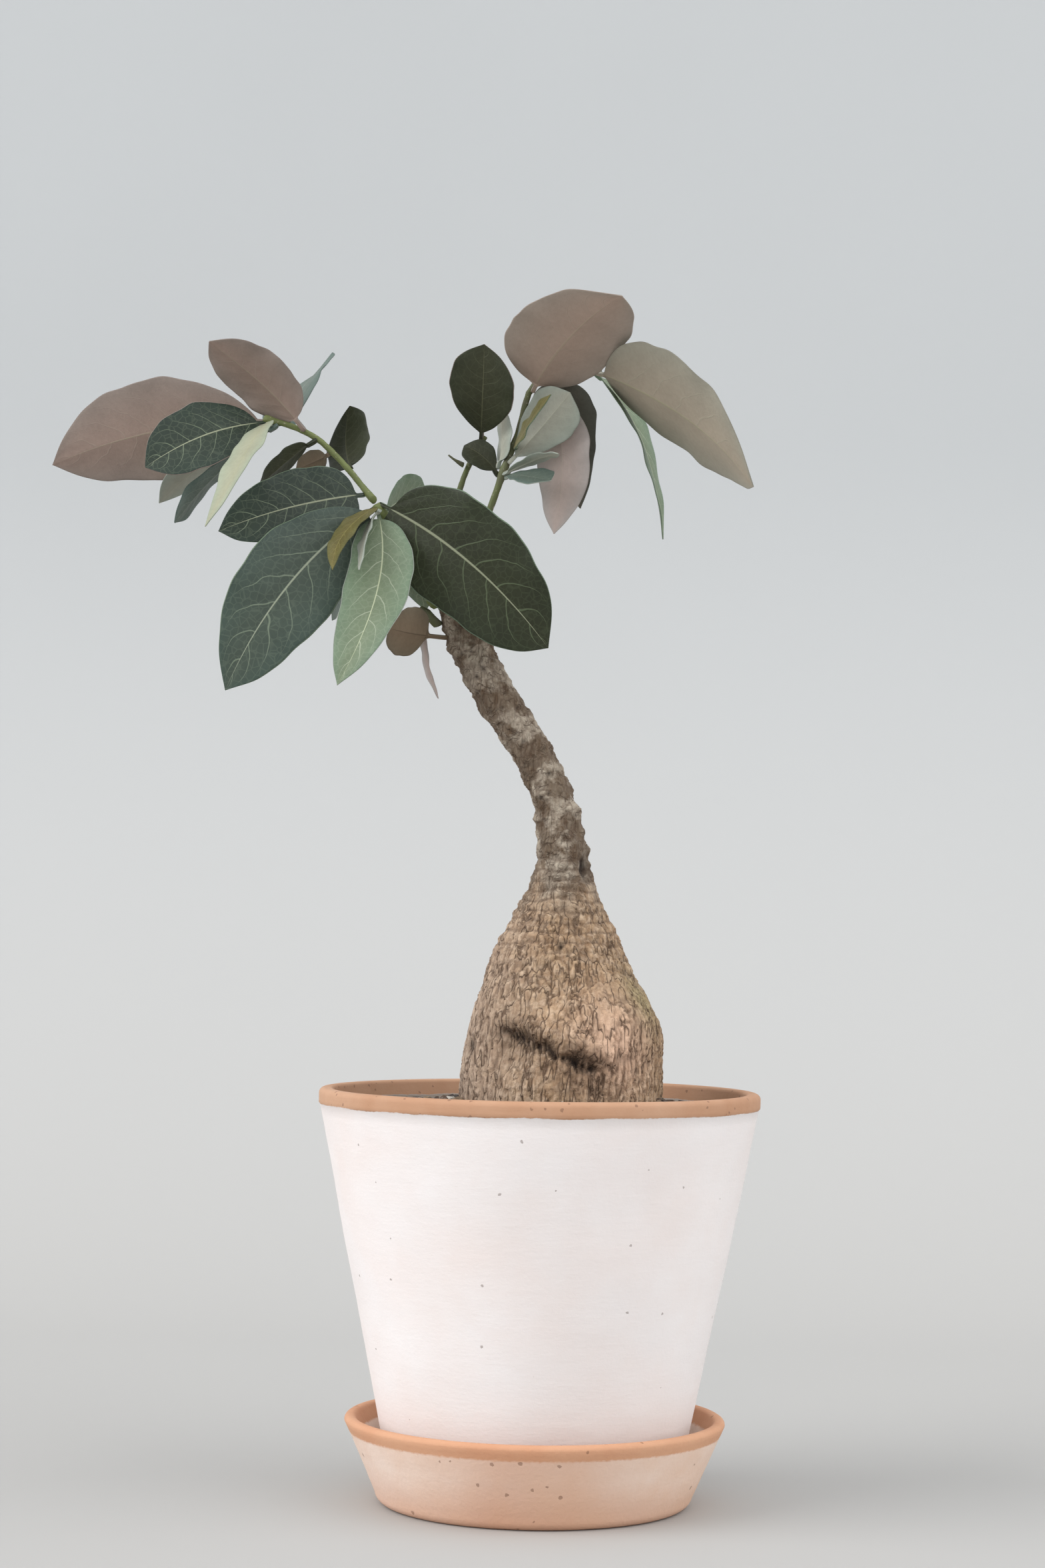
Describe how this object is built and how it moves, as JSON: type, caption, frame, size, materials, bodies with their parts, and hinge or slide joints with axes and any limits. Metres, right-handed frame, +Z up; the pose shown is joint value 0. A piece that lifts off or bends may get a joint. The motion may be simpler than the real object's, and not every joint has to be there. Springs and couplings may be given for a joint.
{
  "type": "potted live plant",
  "caption": "Caudex-forming phyllanthus with a swollen trunk, knobbly leaning stem and veined leaves, in a tapered clay pot and saucer.",
  "frame": {"origin": "centre of the saucer's underside, on the surface it stands on", "axes": "+Z up; +X towards the side that the bare stem leans away from, so the crown overhangs -X"},
  "size_m": [0.2521, 0.15, 0.4043],
  "materials": {
    "slip_coated_clay": "unglazed clay under a chalky off-white slip",
    "bare_clay": "unglazed terracotta",
    "black_plastic": "moulded",
    "pumice": "loose grit",
    "gritty_soil": "moist gritty mix",
    "bark": "fissured bark",
    "twig_bark": "smooth young bark",
    "leaf": "soft leaf, satin above and matt below"
  },
  "bodies": {
    "root": {"caudex_and_stem": "bark", "drain_mesh": "black_plastic", "drainage_gravel": "pumice", "leaf_crown_1": "leaf", "leaf_crown_2": "leaf", "leaf_crown_3": "leaf", "leaf_crown_4": "leaf", "leaf_crown_5": "leaf", "leaf_crown_6": "leaf", "leaf_crown_7": "leaf", "leaf_crown_8": "leaf", "leaf_crown_9": "leaf", "leaf_left_middle_1": "leaf", "leaf_left_middle_2": "leaf", "leaf_left_middle_3": "leaf", "leaf_left_tip_1": "leaf", "leaf_left_tip_2": "leaf", "leaf_left_tip_3": "leaf", "leaf_left_tip_4": "leaf", "leaf_left_tip_5": "leaf", "leaf_left_tip_6": "leaf", "leaf_left_tip_7": "leaf", "leaf_rear_1": "leaf", "leaf_right_middle_1": "leaf", "leaf_right_middle_2": "leaf", "leaf_right_middle_3": "leaf", "leaf_right_middle_4": "leaf", "leaf_right_middle_5": "leaf", "leaf_right_middle_6": "leaf", "leaf_right_middle_7": "leaf", "leaf_right_middle_8": "leaf", "leaf_right_tip_1": "leaf", "leaf_right_tip_2": "leaf", "leaf_right_tip_3": "leaf", "leaf_stem_1": "leaf", "leaf_stem_2": "leaf", "pot": "slip_coated_clay", "pruned_spur": "twig_bark", "saucer": "bare_clay", "soil": "gritty_soil", "twig_centre": "twig_bark", "twig_left": "twig_bark", "twig_rear": "twig_bark", "twig_right": "twig_bark", "twig_spike": "twig_bark"}
  },
  "joints": []
}
